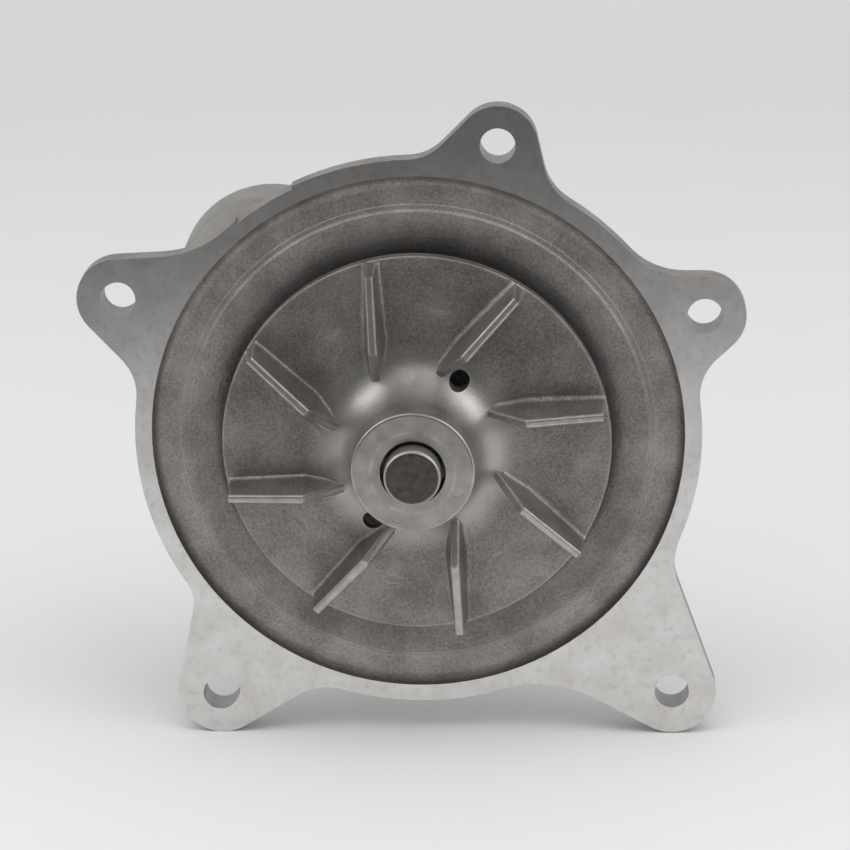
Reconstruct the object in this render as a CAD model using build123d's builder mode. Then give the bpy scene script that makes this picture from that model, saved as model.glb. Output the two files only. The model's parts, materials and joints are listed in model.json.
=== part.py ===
from build123d import *
import math
import os

# Coolant pump. All sizes in millimetres.
# The shaft axis is the Y axis. -Y points into the engine, +Y points to the belt drive, +Z is up.
# The origin is where the shaft axis crosses the machined mounting face, which is the plane Y = 0.

# ---- flange ----
FLANGE_RADIUS = 81.2
FLANGE_THICKNESS = 9.0
FLANGE_BACK_ROUND = 3.0
RELIEF_DEPTH = 0.8
RELIEF_START_ANGLE = 115.0
RELIEF_END_ANGLE = 129.0
RELIEF_CUTTER = 3.0
CUT_PAST = 1.0
BOLT_HOLE_RADIUS = 5.0
SLOT_LENGTH = 11.4
BOLT_PAD_RADIUS = 9.5
BOLT_PAD_HEIGHT = 1.0
# Each lug: hole x, hole z, lug radius, then for each flank the direction of its outward normal in
# degrees and the radius of the fillet at its root. Flanks run clockwise and anticlockwise.
LUGS = {
    "top": (23.4, 85.0, 11.3, (12.7, 16.0), (135.0, 14.0)),
    "right": (81.6, 35.7, 11.7, (-47.0, 15.0), (90.0, 21.0)),
    "bottom_right": (73.2, -78.2, 12.8, (-118.8, 34.0), (19.7, 20.0)),
    "bottom_left": (-58.6, -78.5, 12.8, (167.9, 11.0), (-58.0, 17.0)),
    "left": (-84.6, 40.8, 11.8, (93.0, 30.0), (222.7, 15.0)),
}
SLOTTED_LUG = "bottom_left"

# ---- dish behind the impeller ----
RECESS_RADIUS = 76.7
RECESS_DEPTH = 2.5
RECESS_ROUND = 3.6
LIP_RADIUS = 66.1
LIP_SHOULDER_RADIUS = 54.2
LIP_SHOULDER_Y = 2.9
LIP_ROUND = 8.0
LIP_DEPTH = 0.8
LIP_BEVEL = 0.55
OUTER_LIP_RADIUS = 68.0
OUTER_LIP_BEVEL = 0.15
DISH_DEPTH = 11.5
DISH_FLOOR_RADIUS = 50.5
DISH_WALL = 5.0
DISH_FLOOR_ROUND = 3.0
DISH_BACK_RADIUS = 70.0
DISH_BACK_RIM = 2.5
DISH_RIM_ROUND = 2.0
DISH_BACK_ROUND = 8.0

# ---- bearing snout ----
SNOUT_ROOT_RADIUS = 25.0
SNOUT_END_RADIUS = 21.5
SNOUT_END_Y = 84.5
SNOUT_ROOT_ROUND = 6.0
RIB_THICKNESS = 5.0
RIB_FOOT_RADIUS = 72.0
RIB_TOP_Y = 56.0
RIB_RUN_OUT = 6.0
RIB_SINK = 3.0
RIB_KNEE_RADIUS = 36.0
RIB_KNEE_Y = 26.0
WEEP_Y = 24.5
WEEP_RADIUS = 3.0
VENT_RADIUS = 2.0

# ---- side chamber and hose neck ----
CHAMBER_X = -42.6
CHAMBER_Z = 39.6
CHAMBER_START_RADIUS = 23.0
CHAMBER_RADIUS = 27.1
CHAMBER_BORE_RADIUS = 21.0
CHAMBER_START_Y = 3.0
CHAMBER_FLARE_Y = 14.0
CHAMBER_FLARE_ROUND = 12.0
CHAMBER_END_Y = 36.0
CHAMBER_ROUND = 5.0
CHAMBER_WALL = 5.0
CHAMBER_INSIDE_ROUND = 3.0
NECK_RADIUS = 12.5
NECK_BORE_RADIUS = 9.5
NECK_END_Y = 64.0
NECK_BEAD_RADIUS = 13.7
NECK_BEAD_WIDTH = 4.0
NECK_BEAD_LEAD_IN = 2.0
NECK_BEAD_RAMP = 1.0
NECK_ROOT_ROUND = 3.0
PORT_RADIUS = 7.0
PORT_CENTRE_RADIUS = 45.0
PORT_ANGLE = 135.0
PORT_CUT_START_Y = 5.5
PORT_CUT_DEPTH = 13.0

# ---- shaft ----
SHAFT_RADIUS = 7.959
SHAFT_FRONT_Y = -38.2
SHAFT_REAR_Y = 107.0
SHAFT_CHAMFER = 0.7
SHAFT_CHAMFER_ROUND = 0.9

# ---- impeller ----
IMPELLER_RADIUS = 55.4
IMPELLER_RIM_FRONT_Y = -7.6
IMPELLER_RIM_BACK_Y = -4.3
IMPELLER_BACK_Y = -2.2
IMPELLER_CONE_RISE = 0.153
HUB_RADIUS = 17.3
HUB_FACE_Y = -33.0
HUB_ROOT_ROUND = 13.0
HUB_FACE_ROUND = 0.8
IMPELLER_RIM_ROUND = 0.5
HUB_BACK_RADIUS = 17.0
HUB_COUNTERBORE_RADIUS = 9.2
HUB_COUNTERBORE_DEPTH = 8.0
VANE_COUNT = 8
VANE_HEIGHT = 13.0
VANE_OUTER = 53.6
VANE_OUTER_OFFSET = 12.1
VANE_OUTER_FOOT_WIDTH = 3.0
VANE_KNEE = 31.5
VANE_KNEE_OFFSET = 11.1
VANE_KNEE_FOOT_WIDTH = 5.9
VANE_TIP = 19.3
VANE_TOE_HEIGHT = 3.2
VANE_CREST_WIDTH = 2.4
VANE_CREST_ROUND = 0.9
VANE_FOOT_ROUND = 1.8
VANE_SINK = 0.2
VANE_END_DRAFT = 0.9
BALANCE_HOLE_RADIUS = 2.9
BALANCE_HOLE_PITCH_RADIUS = 24.2
BALANCE_HOLE_ANGLE = 58.8
EJECTOR_MARK_DEPTH = 0.3
EJECTOR_MARK_RADIUS = 3.7
EJECTOR_MARK_PITCH_RADIUS = 43.0
EJECTOR_MARK_ANGLE = -10.0
HUB_MARK_RADIUS = 2.2
HUB_MARK_PITCH_RADIUS = 13.3
HUB_MARK_ANGLES = (-109.0, -22.0)
HUB_MARK_DEPTH = 0.15

# ---- integral shaft bearing ----
BEARING_RADIUS = 15.0
BEARING_START_Y = 28.0
BEARING_END_Y = 82.0
BEARING_LAND_RADIUS = 12.0
BEARING_SEAT_RADIUS = 13.2
BALL_RADIUS = 2.778
BALL_COUNT = 8
BALL_ROW_Y = 40.0
BALL_PITCH_RADIUS = 10.06
BALL_GROOVE_RADIUS = 2.86
ROLLER_RADIUS = 2.5
ROLLER_LENGTH = 12.0
ROLLER_COUNT = 9
ROLLER_ROW_Y = 66.0
ROLLER_PITCH_RADIUS = 10.13
RACE_CLEARANCE = 0.06
CAGE_INNER_RADIUS = 9.2
CAGE_OUTER_RADIUS = 11.1
CAGE_POCKET_CLEARANCE = 0.15
CAGE_DEEP_CUT = 8.0
BALL_CAGE_WIDTH = 7.2
ROLLER_CAGE_END = 2.0
ROLLER_CHAMFER = 0.3
TRACK_END_CLEARANCE = 0.3
BEARING_SEAL_WIDTH = 2.6
BEARING_SEAL_SET_BACK = 0.2
SEAL_LIP_CLEARANCE = 0.06
SNAP_RING_WIDTH = 1.5
SNAP_RING_GROOVE_RADIUS = 16.0
SNAP_RING_INNER_RADIUS = 13.4
SNAP_RING_GAP = 6.0

# ---- mechanical seal ----
SEAL_BORE_RADIUS = 18.25
SEAL_POCKET_RADIUS = 22.0
SEAL_FLANGE_Y = 10.5
SEAL_FLANGE_THICKNESS = 1.0
SEAL_BASE_Y = 20.0
SEAL_BORE_RUN_OUT = 0.5
SEAL_CASE_CLEARANCE = 1.0
SEAL_SHEET = 0.9
SEAL_FACE_Y = 4.0
SEAL_FACE_FILM = 0.04
SLEEVE_RADIUS = 8.75
SLEEVE_END_Y = 18.0
SLEEVE_SHEET = 0.8
SEAT_RADIUS = 14.2
SEAT_CLEARANCE = 0.3
SEAT_RUBBER_THICKNESS = 1.4
SEAT_RUBBER_SET_BACK = 1.0
CARBON_BORE = 9.8
CARBON_NOSE_RADIUS = 12.6
CARBON_RADIUS = 13.8
CARBON_END_Y = 10.5
CARBON_NOSE_LENGTH = 2.0
CARBON_GRIP = 2.5
BELLOWS_TUBE_RADIUS = 12.6
BELLOWS_WALL = 1.1
FERRULE_SHEET = 0.6
SEAT_FLANGE_RADIUS = 15.6
SPRING_MEAN_RADIUS = 15.9
SPRING_WIRE_RADIUS = 0.75
SPRING_TURNS = 3.0
WEEP_CHAMBER_RADIUS = 13.6
SLINGER_RADIUS = 12.4
SLINGER_Y = 23.2
SLINGER_HUB_WALL = 1.6
SLINGER_LENGTH = 4.0
SLINGER_DISC_START = 0.5
SLINGER_DISC_END = 1.5

# ---- pulley hub ----
PULLEY_FLANGE_RADIUS = 40.0
PULLEY_FLANGE_START_Y = 95.0
PULLEY_FLANGE_END_Y = 102.0
PULLEY_SLEEVE_RADIUS = 15.0
PULLEY_SLEEVE_START_Y = 86.0
PILOT_RADIUS = 14.0
PILOT_END_Y = 106.0
PULLEY_BOLT_PCD = 60.0
PULLEY_BOLT_COUNT = 4
PULLEY_TAP_RADIUS = 3.4
PULLEY_CHAMFER = 0.8
PULLEY_SLEEVE_ROUND = 3.0

os.makedirs("parts", exist_ok=True)


def at_depth(y):
    """Plane square to the shaft at depth y, with local x along X and local y along Z."""
    return Plane.XZ.offset(-y)


def polar(radius, degrees):
    """Point at a radius and an angle in a plane square to the shaft."""
    return (radius * math.cos(math.radians(degrees)), radius * math.sin(math.radians(degrees)))


def section(*points):
    """Closed half-section drawn as (radius, y) points, ready to be turned about the shaft axis."""
    with BuildSketch(Plane.XY) as half:
        with BuildLine():
            Polyline(*points, close=True)
        make_face()
    return half.sketch


def band(inner, outer, start, end):
    """Rectangular half-section between two radii and two depths."""
    return section((inner, start), (outer, start), (outer, end), (inner, end))


def flank(lug, side):
    """Where one flank of a lug leaves the lug's circle, and where it would meet the flange circle."""
    x, z, radius = LUGS[lug][:3]
    nx, nz = polar(1.0, LUGS[lug][3 + side][0])
    start = Vector(x + radius * nx, z + radius * nz)
    along = Vector(-nz, nx)
    if along.dot(start) > 0:
        along = -along
    middle = start.dot(along)
    travel = -middle - math.sqrt(middle**2 - start.length**2 + FLANGE_RADIUS**2)
    return start, start + along * travel


def flange_outline():
    """Round flange with five lugs, each on two straight flanks with filleted roots."""
    with BuildSketch(at_depth(0)) as outline:
        Circle(FLANGE_RADIUS)
        for lug, (x, z, radius, *_) in LUGS.items():
            first, first_root = flank(lug, 0)
            second, second_root = flank(lug, 1)
            with BuildLine():
                Polyline((x, z), first, first_root, (0, 0), second_root, second, close=True)
            make_face()
            with Locations((x, z)):
                Circle(radius)
        for lug in LUGS:
            for side in (0, 1):
                corner = outline.vertices().sort_by_distance(flank(lug, side)[1])[0]
                fillet(corner, LUGS[lug][3 + side][1])
    return outline.sketch


# ---- pump housing: one aluminium casting ----
outline = flange_outline()
DISH_BACK_Y = DISH_DEPTH + DISH_WALL
chamber_axis = Axis((CHAMBER_X, 0, CHAMBER_Z), (0, 1, 0))
chamber_plane = Plane(origin=(CHAMBER_X, 0, CHAMBER_Z), x_dir=(1, 0, 0), z_dir=(0, 0, 1))

with BuildPart() as pump_housing:
    # flange plate with its lugs, rounded along the back edge
    extrude(outline, amount=FLANGE_THICKNESS, dir=(0, 1, 0))
    fillet(pump_housing.edges().group_by(Axis.Y)[-1], FLANGE_BACK_ROUND)
    # shallow relief ground into the rim above the side chamber
    with BuildSketch(at_depth(-CUT_PAST)):
        with BuildLine():
            inner = FLANGE_RADIUS - RELIEF_DEPTH
            outer = inner + RELIEF_CUTTER
            first = polar(inner, RELIEF_START_ANGLE)
            last = polar(inner, RELIEF_END_ANGLE)
            middle = polar(inner, (RELIEF_START_ANGLE + RELIEF_END_ANGLE) / 2)
            ThreePointArc(first, middle, last)
            Polyline(last, polar(outer, RELIEF_END_ANGLE - 1), polar(outer, RELIEF_START_ANGLE + 1), first)
        make_face()
    extrude(amount=-(FLANGE_THICKNESS + 2 * CUT_PAST), mode=Mode.SUBTRACT)
    # bolt seats on the back of the lugs
    with BuildSketch(at_depth(FLANGE_THICKNESS)):
        for x, z, *_ in LUGS.values():
            with Locations((x, z)):
                Circle(BOLT_PAD_RADIUS)
    extrude(amount=-BOLT_PAD_HEIGHT)
    # back of the dish and the bearing snout
    with BuildSketch(Plane.XY) as shell:
        rim = (DISH_BACK_RADIUS, FLANGE_THICKNESS + DISH_BACK_RIM)
        shoulder = (DISH_FLOOR_RADIUS + DISH_WALL, DISH_BACK_Y)
        root = (SNOUT_ROOT_RADIUS, DISH_BACK_Y)
        with BuildLine():
            Polyline(
                (0, RECESS_DEPTH),
                (DISH_BACK_RADIUS, RECESS_DEPTH),
                rim,
                shoulder,
                root,
                (SNOUT_END_RADIUS, SNOUT_END_Y),
                (0, SNOUT_END_Y),
                close=True,
            )
        make_face()
        for corner, size in ((rim, DISH_RIM_ROUND), (shoulder, DISH_BACK_ROUND), (root, SNOUT_ROOT_ROUND)):
            fillet(shell.vertices().sort_by_distance(corner)[0], size)
    revolve(axis=Axis.Y)
    # ribs from the snout out towards the lugs
    for x, z, *_ in LUGS.values():
        outward = Vector(x, 0, z).normalized()
        with BuildSketch(Plane(origin=(0, 0, 0), x_dir=outward, z_dir=outward.cross(Vector(0, 1, 0)))):
            with BuildLine():
                Polyline(
                    (SNOUT_END_RADIUS - RIB_SINK, FLANGE_THICKNESS - RIB_SINK),
                    (SNOUT_END_RADIUS - RIB_SINK, RIB_TOP_Y + RIB_RUN_OUT),
                    (SNOUT_END_RADIUS + 2, RIB_TOP_Y),
                    (RIB_KNEE_RADIUS, RIB_KNEE_Y),
                    (RIB_FOOT_RADIUS, FLANGE_THICKNESS + RIB_SINK),
                    (RIB_FOOT_RADIUS, FLANGE_THICKNESS - RIB_SINK),
                    close=True,
                )
            make_face()
        extrude(amount=RIB_THICKNESS / 2, both=True)
    # side chamber, flared behind the rim and rounded at its shoulder, and the beaded hose neck on it
    with BuildSketch(chamber_plane) as chamber:
        with BuildLine():
            Polyline(
                (0, CHAMBER_START_Y),
                (CHAMBER_START_RADIUS, CHAMBER_START_Y),
                (CHAMBER_RADIUS, CHAMBER_FLARE_Y),
                (CHAMBER_RADIUS, CHAMBER_END_Y),
                (NECK_RADIUS, CHAMBER_END_Y),
                (NECK_RADIUS, NECK_END_Y - NECK_BEAD_WIDTH - NECK_BEAD_RAMP),
                (NECK_BEAD_RADIUS, NECK_END_Y - NECK_BEAD_WIDTH),
                (NECK_BEAD_RADIUS, NECK_END_Y - NECK_BEAD_LEAD_IN),
                (NECK_RADIUS, NECK_END_Y),
                (0, NECK_END_Y),
                close=True,
            )
        make_face()
        for corner, size in (
            ((CHAMBER_RADIUS, CHAMBER_END_Y), CHAMBER_ROUND),
            ((CHAMBER_RADIUS, CHAMBER_FLARE_Y), CHAMBER_FLARE_ROUND),
            ((NECK_RADIUS, CHAMBER_END_Y), NECK_ROOT_ROUND),
        ):
            fillet(chamber.vertices().sort_by_distance(corner)[0], size)
    revolve(axis=chamber_axis)
    # recess inside the mounting face, its bevelled lip and the dish
    with BuildSketch(Plane.XY) as dish:
        recess_corner = (RECESS_RADIUS, RECESS_DEPTH)
        shoulder = (LIP_SHOULDER_RADIUS, LIP_SHOULDER_Y)
        floor_corner = (DISH_FLOOR_RADIUS, DISH_DEPTH)
        with BuildLine():
            Polyline(
                (0, -2 * RECESS_ROUND),
                (RECESS_RADIUS, -2 * RECESS_ROUND),
                recess_corner,
                (OUTER_LIP_RADIUS + OUTER_LIP_BEVEL, LIP_DEPTH + LIP_BEVEL + OUTER_LIP_BEVEL),
                (OUTER_LIP_RADIUS, LIP_DEPTH + LIP_BEVEL),
                (LIP_RADIUS + LIP_BEVEL, LIP_DEPTH + LIP_BEVEL),
                (LIP_RADIUS, LIP_DEPTH),
                shoulder,
                floor_corner,
                (0, DISH_DEPTH),
                close=True,
            )
        make_face()
        for corner, size in (
            (recess_corner, RECESS_ROUND),
            (shoulder, LIP_ROUND),
            (floor_corner, DISH_FLOOR_ROUND),
        ):
            fillet(dish.vertices().sort_by_distance(corner)[0], size)
    revolve(axis=Axis.Y, mode=Mode.SUBTRACT)
    # stepped bore for the seal, the weep chamber, the bearing and its snap ring
    add(
        section(
            (0, DISH_DEPTH - CUT_PAST),
            (SEAL_BORE_RADIUS, DISH_DEPTH - CUT_PAST),
            (SEAL_BORE_RADIUS, SEAL_BASE_Y + SEAL_BORE_RUN_OUT),
            (WEEP_CHAMBER_RADIUS, SEAL_BASE_Y + SEAL_BORE_RUN_OUT),
            (WEEP_CHAMBER_RADIUS, BEARING_START_Y),
            (BEARING_RADIUS, BEARING_START_Y),
            (BEARING_RADIUS, BEARING_END_Y),
            (SNAP_RING_GROOVE_RADIUS, BEARING_END_Y),
            (SNAP_RING_GROOVE_RADIUS, BEARING_END_Y + SNAP_RING_WIDTH),
            (BEARING_RADIUS, BEARING_END_Y + SNAP_RING_WIDTH),
            (BEARING_RADIUS + CUT_PAST, SNOUT_END_Y + CUT_PAST),
            (0, SNOUT_END_Y + CUT_PAST),
        )
    )
    revolve(axis=Axis.Y, mode=Mode.SUBTRACT)
    # weep hole below and vent hole above the weep chamber
    drilling_reach = SNOUT_ROOT_RADIUS + SNOUT_ROOT_ROUND + RIB_SINK
    with BuildSketch(Plane.XY.offset(-drilling_reach)):
        with Locations((0, WEEP_Y)):
            Circle(WEEP_RADIUS)
    extrude(amount=drilling_reach, mode=Mode.SUBTRACT)
    with BuildSketch(Plane.XY):
        with Locations((0, WEEP_Y)):
            Circle(VENT_RADIUS)
    extrude(amount=drilling_reach, mode=Mode.SUBTRACT)
    # water way: port behind the impeller, side chamber, hose neck
    with BuildSketch(chamber_plane) as water_way:
        chamber_floor = DISH_BACK_Y - 0.5
        chamber_roof = CHAMBER_END_Y - CHAMBER_WALL
        with BuildLine():
            Polyline(
                (0, chamber_floor),
                (CHAMBER_BORE_RADIUS, chamber_floor),
                (CHAMBER_BORE_RADIUS, chamber_roof),
                (NECK_BORE_RADIUS, chamber_roof),
                (NECK_BORE_RADIUS, NECK_END_Y + CUT_PAST),
                (0, NECK_END_Y + CUT_PAST),
                close=True,
            )
        make_face()
        for y in (chamber_floor, chamber_roof):
            corner = (CHAMBER_BORE_RADIUS, y)
            fillet(water_way.vertices().sort_by_distance(corner)[0], CHAMBER_INSIDE_ROUND)
    revolve(axis=chamber_axis, mode=Mode.SUBTRACT)
    with BuildSketch(at_depth(PORT_CUT_START_Y)):
        with Locations(polar(PORT_CENTRE_RADIUS, PORT_ANGLE)):
            Circle(PORT_RADIUS)
    extrude(amount=-PORT_CUT_DEPTH, mode=Mode.SUBTRACT)
    # bolt holes, one of them a slot that points at the shaft
    with BuildSketch(at_depth(-CUT_PAST)):
        for lug, (x, z, *_) in LUGS.items():
            with Locations(Location((x, z), math.degrees(math.atan2(z, x)))):
                if lug == SLOTTED_LUG:
                    SlotOverall(SLOT_LENGTH, 2 * BOLT_HOLE_RADIUS)
                else:
                    Circle(BOLT_HOLE_RADIUS)
    extrude(amount=-(FLANGE_THICKNESS + BOLT_PAD_HEIGHT + 2 * CUT_PAST), mode=Mode.SUBTRACT)
pump_housing.part.label = "pump_housing"
export_step(pump_housing.part, "parts/pump_housing.step")

# ---- impeller: cast disc with eight straight vanes ----
def disc_front(radius):
    """Depth of the disc's coned front at a radius."""
    return IMPELLER_RIM_FRONT_Y - (IMPELLER_RADIUS - radius) * IMPELLER_CONE_RISE


def vane_section(z, height, lowered):
    """Cross-section of the upright vane at a distance z from the shaft, standing that high on its foot."""
    outward = (z - VANE_KNEE) / (VANE_OUTER - VANE_KNEE) if z > VANE_KNEE else 0
    centre = -VANE_KNEE_OFFSET + outward * (VANE_KNEE_OFFSET - VANE_OUTER_OFFSET)
    full_foot_width = VANE_KNEE_FOOT_WIDTH + outward * (VANE_OUTER_FOOT_WIDTH - VANE_KNEE_FOOT_WIDTH)
    foot_width = VANE_CREST_WIDTH + (full_foot_width - VANE_CREST_WIDTH) * height / VANE_HEIGHT
    foot_y = disc_front(math.hypot(centre, z)) + lowered
    crest_y = foot_y - height
    foot = foot_width / 2
    crest = VANE_CREST_WIDTH / 2
    reach = foot + 1.3 * VANE_FOOT_ROUND
    with BuildSketch(Plane.XY.offset(z)) as cross_section:
        with BuildLine():
            Polyline(
                (centre - reach, foot_y + 1),
                (centre + reach, foot_y + 1),
                (centre + reach, foot_y),
                (centre + foot, foot_y),
                (centre + crest, crest_y),
                (centre - crest, crest_y),
                (centre - foot, foot_y),
                (centre - reach, foot_y),
                close=True,
            )
        make_face()
        for half_width, y, size in ((foot, foot_y, VANE_FOOT_ROUND), (crest, crest_y, VANE_CREST_ROUND)):
            for side in (-1, 1):
                corner = (centre + side * half_width, y)
                fillet(cross_section.vertices().sort_by_distance(corner)[0], size)
    return cross_section.sketch


def vane():
    """One upright vane: its crest climbs out of the disc at the tip, then follows the cone."""
    toe = VANE_TIP + VANE_TOE_HEIGHT * (VANE_KNEE - VANE_TIP) / VANE_HEIGHT
    stations = (
        (VANE_TIP, VANE_TOE_HEIGHT, VANE_TOE_HEIGHT + VANE_SINK),
        (toe, VANE_TOE_HEIGHT, VANE_SINK),
        (VANE_KNEE, VANE_HEIGHT, VANE_SINK),
        (VANE_OUTER + CUT_PAST, VANE_HEIGHT, VANE_SINK),
    )
    with BuildPart() as body:
        loft([vane_section(*station).face() for station in stations], ruled=True)
        with BuildSketch(Plane.YZ.offset(-VANE_OUTER_OFFSET)):
            rim_crest_y = disc_front(VANE_OUTER) - VANE_HEIGHT - CUT_PAST
            highest_y = disc_front(0) - VANE_HEIGHT
            with BuildLine():
                Polyline(
                    (highest_y, VANE_TIP - CUT_PAST),
                    (highest_y, VANE_OUTER - VANE_END_DRAFT),
                    (rim_crest_y, VANE_OUTER - VANE_END_DRAFT),
                    (IMPELLER_RIM_FRONT_Y, VANE_OUTER),
                    (IMPELLER_BACK_Y, VANE_OUTER),
                    (IMPELLER_BACK_Y, VANE_TIP - CUT_PAST),
                    close=True,
                )
            make_face()
        extrude(amount=VANE_KNEE_FOOT_WIDTH + VANE_FOOT_ROUND, both=True, mode=Mode.INTERSECT)
    return body.part


HUB_ROOT_Y = disc_front(HUB_RADIUS)
upright_vane = vane()

with BuildPart() as impeller:
    with BuildSketch(Plane.XY) as disc:
        with BuildLine():
            Polyline(
                (0, IMPELLER_BACK_Y),
                (IMPELLER_RADIUS, IMPELLER_BACK_Y),
                (IMPELLER_RADIUS, IMPELLER_RIM_FRONT_Y),
                (HUB_RADIUS, HUB_ROOT_Y),
                (HUB_RADIUS, HUB_FACE_Y),
                (0, HUB_FACE_Y),
                close=True,
            )
        make_face()
        for corner, size in (
            ((HUB_RADIUS, HUB_ROOT_Y), HUB_ROOT_ROUND),
            ((HUB_RADIUS, HUB_FACE_Y), HUB_FACE_ROUND),
            ((IMPELLER_RADIUS, IMPELLER_RIM_FRONT_Y), IMPELLER_RIM_ROUND),
        ):
            fillet(disc.vertices().sort_by_distance(corner)[0], size)
    revolve(axis=Axis.Y)
    # vanes turned round the hub, with nothing of them left outside the rim
    for index in range(VANE_COUNT):
        add(upright_vane.rotate(Axis.Y, index * 360 / VANE_COUNT))
    add(band(IMPELLER_RADIUS, IMPELLER_RADIUS + 5, HUB_FACE_Y, IMPELLER_BACK_Y + 1))
    revolve(axis=Axis.Y, mode=Mode.SUBTRACT)
    # the back of the disc follows its front
    add(
        section(
            (HUB_BACK_RADIUS, IMPELLER_BACK_Y + 1),
            (HUB_BACK_RADIUS, disc_front(HUB_BACK_RADIUS) + IMPELLER_RIM_BACK_Y - IMPELLER_RIM_FRONT_Y),
            (IMPELLER_RADIUS + 1, IMPELLER_RIM_BACK_Y + IMPELLER_CONE_RISE),
            (IMPELLER_RADIUS + 1, IMPELLER_BACK_Y + 1),
        )
    )
    revolve(axis=Axis.Y, mode=Mode.SUBTRACT)
    # shaft bore with a counterbore in the hub face
    add(
        section(
            (0, HUB_FACE_Y - 1),
            (HUB_COUNTERBORE_RADIUS, HUB_FACE_Y - 1),
            (HUB_COUNTERBORE_RADIUS, HUB_FACE_Y + HUB_COUNTERBORE_DEPTH),
            (SHAFT_RADIUS, HUB_FACE_Y + HUB_COUNTERBORE_DEPTH),
            (SHAFT_RADIUS, IMPELLER_BACK_Y + 1),
            (0, IMPELLER_BACK_Y + 1),
        )
    )
    revolve(axis=Axis.Y, mode=Mode.SUBTRACT)
    # two balance holes through the disc
    with BuildSketch(at_depth(HUB_FACE_Y)):
        with Locations(
            polar(BALANCE_HOLE_PITCH_RADIUS, BALANCE_HOLE_ANGLE),
            polar(BALANCE_HOLE_PITCH_RADIUS, BALANCE_HOLE_ANGLE + 180),
        ):
            Circle(BALANCE_HOLE_RADIUS)
    extrude(amount=HUB_FACE_Y - IMPELLER_BACK_Y, mode=Mode.SUBTRACT)
    # flat ejector-pin marks between the vanes and on the hub face
    with BuildSketch(at_depth(HUB_FACE_Y + HUB_MARK_DEPTH)):
        with Locations(*[polar(HUB_MARK_PITCH_RADIUS, angle) for angle in HUB_MARK_ANGLES]):
            Circle(HUB_MARK_RADIUS)
    extrude(amount=1, mode=Mode.SUBTRACT)
    mark_y = disc_front(EJECTOR_MARK_PITCH_RADIUS - EJECTOR_MARK_RADIUS) + EJECTOR_MARK_DEPTH
    with BuildSketch(at_depth(mark_y)):
        with PolarLocations(EJECTOR_MARK_PITCH_RADIUS, VANE_COUNT, start_angle=EJECTOR_MARK_ANGLE):
            Circle(EJECTOR_MARK_RADIUS)
    extrude(amount=2, mode=Mode.SUBTRACT)
impeller.part.label = "impeller"
export_step(impeller.part, "parts/impeller.step")

# ---- shaft, ground with a ball groove and a roller track ----
with BuildPart() as shaft:
    with BuildSketch(Plane.XY) as shaft_half:
        front_corner = (SHAFT_RADIUS - SHAFT_CHAMFER, SHAFT_FRONT_Y)
        front_shoulder = (SHAFT_RADIUS, SHAFT_FRONT_Y + SHAFT_CHAMFER)
        with BuildLine():
            Polyline(
                (0, SHAFT_FRONT_Y),
                front_corner,
                front_shoulder,
                (SHAFT_RADIUS, SHAFT_REAR_Y - SHAFT_CHAMFER),
                (SHAFT_RADIUS - SHAFT_CHAMFER, SHAFT_REAR_Y),
                (0, SHAFT_REAR_Y),
                close=True,
            )
        make_face()
        for corner in (front_corner, front_shoulder):
            fillet(shaft_half.vertices().sort_by_distance(corner)[0], SHAFT_CHAMFER_ROUND)
        with Locations((BALL_PITCH_RADIUS, BALL_ROW_Y)):
            Circle(BALL_GROOVE_RADIUS, mode=Mode.SUBTRACT)
        track_radius = ROLLER_PITCH_RADIUS - ROLLER_RADIUS - RACE_CLEARANCE
        with Locations((track_radius + 1, ROLLER_ROW_Y)):
            Rectangle(2, ROLLER_LENGTH + 2 * TRACK_END_CLEARANCE, mode=Mode.SUBTRACT)
    revolve(axis=Axis.Y)
shaft.part.label = "shaft"
export_step(shaft.part, "parts/shaft.step")

# ---- integral shaft bearing ----
with BuildPart() as bearing_outer_ring:
    with BuildSketch(Plane.XY):
        add(band(BEARING_LAND_RADIUS, BEARING_RADIUS, BEARING_START_Y, BEARING_END_Y))
        for end_y in (BEARING_START_Y, BEARING_END_Y):
            with Locations((BEARING_LAND_RADIUS, end_y)):
                seat_depth = BEARING_SEAT_RADIUS - BEARING_LAND_RADIUS
                Rectangle(2 * seat_depth, 2 * BEARING_SEAL_WIDTH, mode=Mode.SUBTRACT)
        with Locations((BALL_PITCH_RADIUS, BALL_ROW_Y)):
            Circle(BALL_GROOVE_RADIUS, mode=Mode.SUBTRACT)
        outer_track = ROLLER_PITCH_RADIUS + ROLLER_RADIUS + RACE_CLEARANCE
        with Locations((outer_track - 1, ROLLER_ROW_Y)):
            Rectangle(2, ROLLER_LENGTH + 2 * TRACK_END_CLEARANCE, mode=Mode.SUBTRACT)
    revolve(axis=Axis.Y)
bearing_outer_ring.part.label = "bearing_outer_ring"
export_step(bearing_outer_ring.part, "parts/bearing_outer_ring.step")

with BuildPart() as bearing_balls:
    with Locations(Plane.XZ.offset(-BALL_ROW_Y)):
        with PolarLocations(BALL_PITCH_RADIUS, BALL_COUNT):
            Sphere(BALL_RADIUS)
bearing_balls.part.label = "bearing_balls"
export_step(bearing_balls.part, "parts/bearing_balls.step")

with BuildPart() as ball_cage:
    half_cage = BALL_CAGE_WIDTH / 2
    add(band(CAGE_INNER_RADIUS, CAGE_OUTER_RADIUS, BALL_ROW_Y - half_cage, BALL_ROW_Y + half_cage))
    revolve(axis=Axis.Y)
    with Locations(Plane.XZ.offset(-BALL_ROW_Y)):
        with PolarLocations(BALL_PITCH_RADIUS, BALL_COUNT):
            pocket_radius = BALL_RADIUS + CAGE_POCKET_CLEARANCE
            Cylinder(pocket_radius, CAGE_DEEP_CUT, rotation=(0, 90, 0), mode=Mode.SUBTRACT)
ball_cage.part.label = "ball_cage"
export_step(ball_cage.part, "parts/ball_cage.step")

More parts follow.
